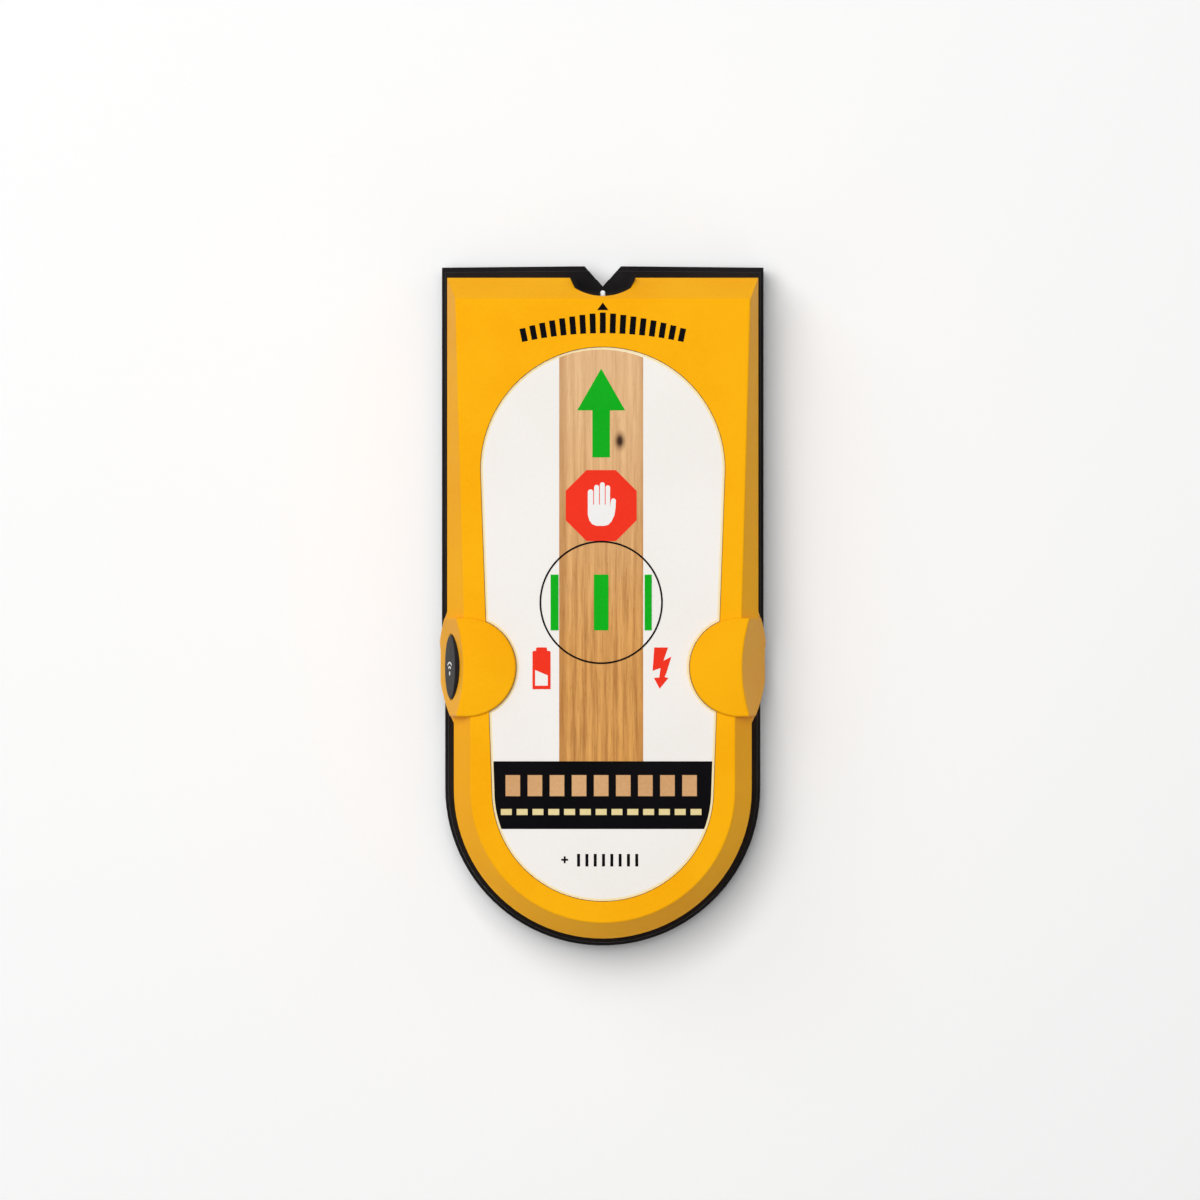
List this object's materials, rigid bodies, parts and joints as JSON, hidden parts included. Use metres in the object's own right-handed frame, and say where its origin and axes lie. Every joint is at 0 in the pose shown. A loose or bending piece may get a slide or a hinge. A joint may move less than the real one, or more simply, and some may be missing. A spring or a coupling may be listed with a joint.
{
  "type": "stud finder",
  "caption": "Hand-held wall scanner with a square head, round tail, recessed label window, side grips, side push button, marking notch and hinged battery door.",
  "frame": {"origin": "centre of the bounding box at the underside of the glide pads; the tool lies on its back", "axes": "+X to the right seen from the front, +Y towards the marking notch, +Z out of the front face"},
  "size_m": [0.0814, 0.1699, 0.0326],
  "materials": {
    "case_yellow": "satin moulded",
    "base_black": "satin moulded",
    "button_black": "soft matte",
    "window_white": "printed label under clear film",
    "diffuser_white": "milky",
    "lens_white": "clear gloss",
    "inner_black": "matte",
    "led_green": "clear tinted",
    "led_red": "clear tinted",
    "board_green": "solder mask",
    "copper": "bare copper",
    "ceramic": "matte",
    "battery_skin": "wrapped steel jacket",
    "nickel": "nickel plated",
    "snap_black": "soft vinyl",
    "wire_red": "PVC insulation",
    "wire_black": "PVC insulation",
    "foam_grey": "open-cell foam",
    "felt_grey": "pressed felt",
    "screw_steel": "zinc plated"
  },
  "bodies": {
    "housing": {"front_case": "case_yellow", "rear_base": "base_black", "notch_guide": "base_black", "pointer_lens": "lens_white", "pointer_led": "lens_white", "face_window": "window_white", "diffuser_sheet": "diffuser_white", "light_baffle": "inner_black", "target_leds": "led_green", "warning_leds": "led_red", "circuit_board": "board_green", "sensor_board": "board_green", "sensor_plates": "copper", "controller_chip": "inner_black", "passive_components": "ceramic", "board_link": "inner_black", "buzzer": "inner_black", "scan_switch": "inner_black", "battery_9v": "battery_skin", "battery_terminals": "nickel", "snap_connector": "snap_black", "snap_contacts": "nickel", "wire_red": "wire_red", "wire_black": "wire_black", "glide_pads": "felt_grey", "case_screws": "screw_steel", "board_screws": "screw_steel"},
    "scan_button": {"scan_button": "button_black"},
    "switch_plunger": {"switch_plunger": "ceramic"},
    "battery_door": {"battery_door": "base_black", "battery_foam": "foam_grey"}
  },
  "joints": [
    {"name": "button_press", "type": "slide", "parent": "housing", "child": "scan_button", "axis": [1, 0, 0], "range_m": [0, 0.0008], "stiffness_N_per_m": 1500, "springref_m": -0.0002},
    {"name": "plunger_press", "type": "slide", "parent": "housing", "child": "switch_plunger", "axis": [1, 0, 0], "range_m": [0, 0.0008]},
    {"name": "battery_door_hinge", "type": "hinge", "parent": "housing", "child": "battery_door", "pos_m": [0, -0.0766, 0.0021], "axis": [-1, 0, 0], "range_deg": [0, 95]}
  ],
  "couplings": [
    {"joint": "plunger_press", "follows": "button_press", "ratio": 1}
  ]
}
